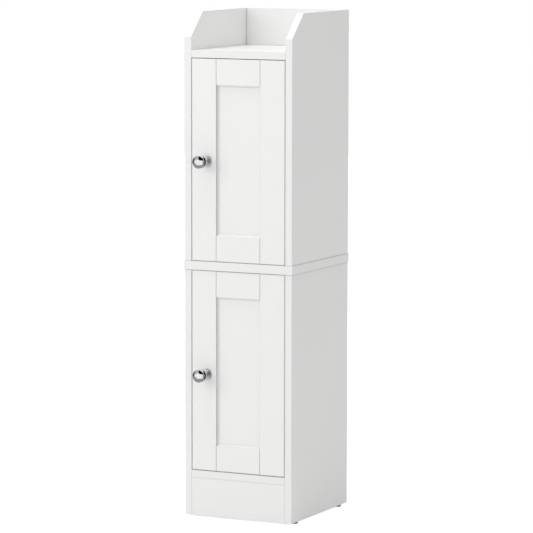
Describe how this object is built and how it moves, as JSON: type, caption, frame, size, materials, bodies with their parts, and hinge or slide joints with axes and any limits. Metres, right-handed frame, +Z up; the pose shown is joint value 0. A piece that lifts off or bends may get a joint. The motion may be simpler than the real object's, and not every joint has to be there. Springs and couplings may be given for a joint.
{
  "type": "storage cabinet",
  "caption": "Tall narrow white storage cabinet: stacked compartments with inset frame-and-panel doors and an open gallery on top.",
  "frame": {"origin": "on the floor, at the middle of the whole width and of the whole depth from the knobs to the nail heads behind", "axes": "+Z up, -Y towards the front where the doors and knobs are, +X towards the side that the doors are hinged on"},
  "size_m": [0.244, 0.3038, 1.024],
  "materials": {
    "white_board": "white melamine-faced particleboard, fine satin texture",
    "white_door": "white painted fibreboard, satin",
    "white_back": "white faced hardboard, satin",
    "chrome": "polished chrome plate",
    "zinc_steel": "bright nickel or zinc plated steel",
    "grey_plastic": "matt grey plastic",
    "white_plastic": "matt white plastic",
    "magnet": "dark grey sintered magnet",
    "beech": "bare beech"
  },
  "bodies": {
    "root": {"lower_left_side": "white_board", "lower_right_side": "white_board", "upper_left_side": "white_board", "upper_right_side": "white_board", "base_board": "white_board", "kick_board": "white_board", "middle_plank": "white_board", "top_board": "white_board", "gallery_back": "white_board", "lower_back_panel": "white_back", "upper_back_panel": "white_back", "lower_shelf": "white_board", "upper_shelf": "white_board", "shelf_pins": "zinc_steel", "floor_glides": "grey_plastic", "cam_locks": "zinc_steel", "cam_bolts": "zinc_steel", "plank_bolts": "zinc_steel", "dowels": "beech", "back_nails": "zinc_steel", "lower_hinge_plates": "zinc_steel", "upper_hinge_plates": "zinc_steel", "lower_hinge_arms": "zinc_steel", "upper_hinge_arms": "zinc_steel", "plate_screws": "zinc_steel", "arm_screws": "zinc_steel", "door_catches": "white_plastic", "catch_magnets": "magnet", "catch_screws": "zinc_steel"},
    "lower_door": {"lower_knob_stile": "white_door", "lower_hinge_stile": "white_door", "lower_top_rail": "white_door", "lower_bottom_rail": "white_door", "lower_centre_panel": "white_door", "lower_knob": "chrome", "lower_rosette": "chrome", "lower_knob_screw": "zinc_steel", "lower_hinge_cups": "zinc_steel", "lower_hinge_pins": "zinc_steel", "lower_cup_screws": "zinc_steel", "lower_strike": "zinc_steel", "lower_strike_screw": "zinc_steel"},
    "upper_door": {"upper_knob_stile": "white_door", "upper_hinge_stile": "white_door", "upper_top_rail": "white_door", "upper_bottom_rail": "white_door", "upper_centre_panel": "white_door", "upper_knob": "chrome", "upper_rosette": "chrome", "upper_knob_screw": "zinc_steel", "upper_hinge_cups": "zinc_steel", "upper_hinge_pins": "zinc_steel", "upper_cup_screws": "zinc_steel", "upper_strike": "zinc_steel", "upper_strike_screw": "zinc_steel"}
  },
  "joints": [
    {"name": "lower_door_hinge", "type": "hinge", "parent": "root", "child": "lower_door", "pos_m": [0.093, -0.108, 0.3018], "axis": [0, 0, 1], "range_deg": [0, 95]},
    {"name": "upper_door_hinge", "type": "hinge", "parent": "root", "child": "upper_door", "pos_m": [0.093, -0.108, 0.7282], "axis": [0, 0, 1], "range_deg": [0, 95]}
  ]
}
